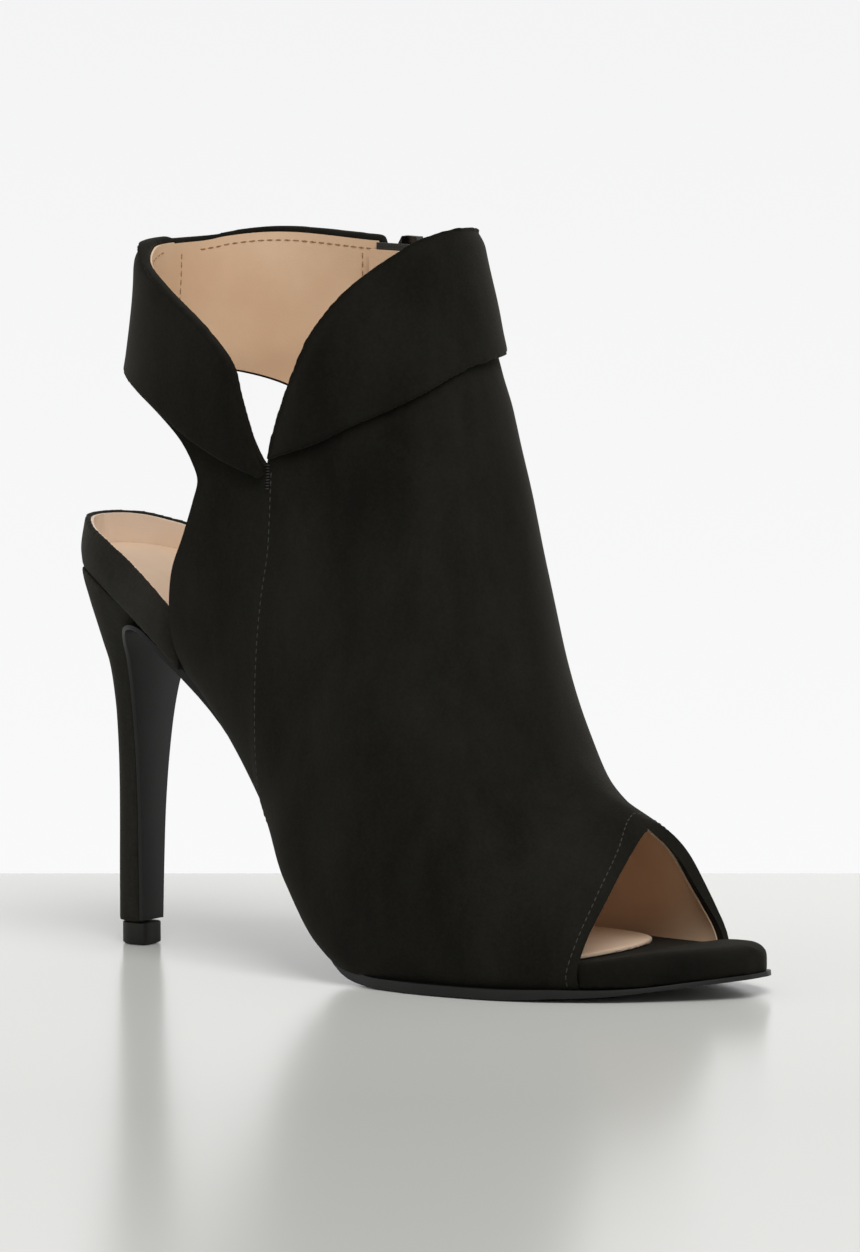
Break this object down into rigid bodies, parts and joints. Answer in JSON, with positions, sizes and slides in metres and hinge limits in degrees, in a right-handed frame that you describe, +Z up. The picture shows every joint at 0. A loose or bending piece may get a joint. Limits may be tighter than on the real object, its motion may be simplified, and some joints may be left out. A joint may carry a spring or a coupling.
{
  "type": "peep-toe stiletto ankle boot",
  "caption": "Black suede peep-toe ankle boot on a high stiletto heel, with an open heel, a fold-over collar notched on the outer side and a zip on the inner side. Right foot.",
  "frame": {"origin": "middle of the bounding box's foot, on the floor", "axes": "+X towards the toe, +Y to the wearer's left (the inner side), +Z up"},
  "size_m": [0.2102, 0.0804, 0.1921],
  "materials": {
    "suede": "black suede, napped",
    "lining": "smooth beige lining, satin",
    "sole_sheet": "smooth black sole sheet, satin",
    "top_piece": "hard black top piece, matt",
    "zip_textile": "black woven tape",
    "zip_nylon": "black nylon coil",
    "zip_metal": "black lacquered zinc"
  },
  "bodies": {
    "body": {"upper": "suede", "cuff_front": "suede", "cuff_back": "suede", "insole_board": "suede", "sock": "lining", "outsole": "sole_sheet", "heel_cup": "suede", "heel": "suede", "heel_tip": "top_piece", "zip_tape": "zip_textile", "zip_coil": "zip_nylon", "zip_guard": "lining", "zip_slider": "zip_metal"},
    "pull": {"zip_pull": "zip_metal"}
  },
  "joints": [
    {"name": "pull_hinge", "type": "hinge", "parent": "body", "child": "pull", "pos_m": [-0.0276, 0.0383, 0.182], "axis": [1, 0, 0], "range_deg": [0, 160]}
  ]
}
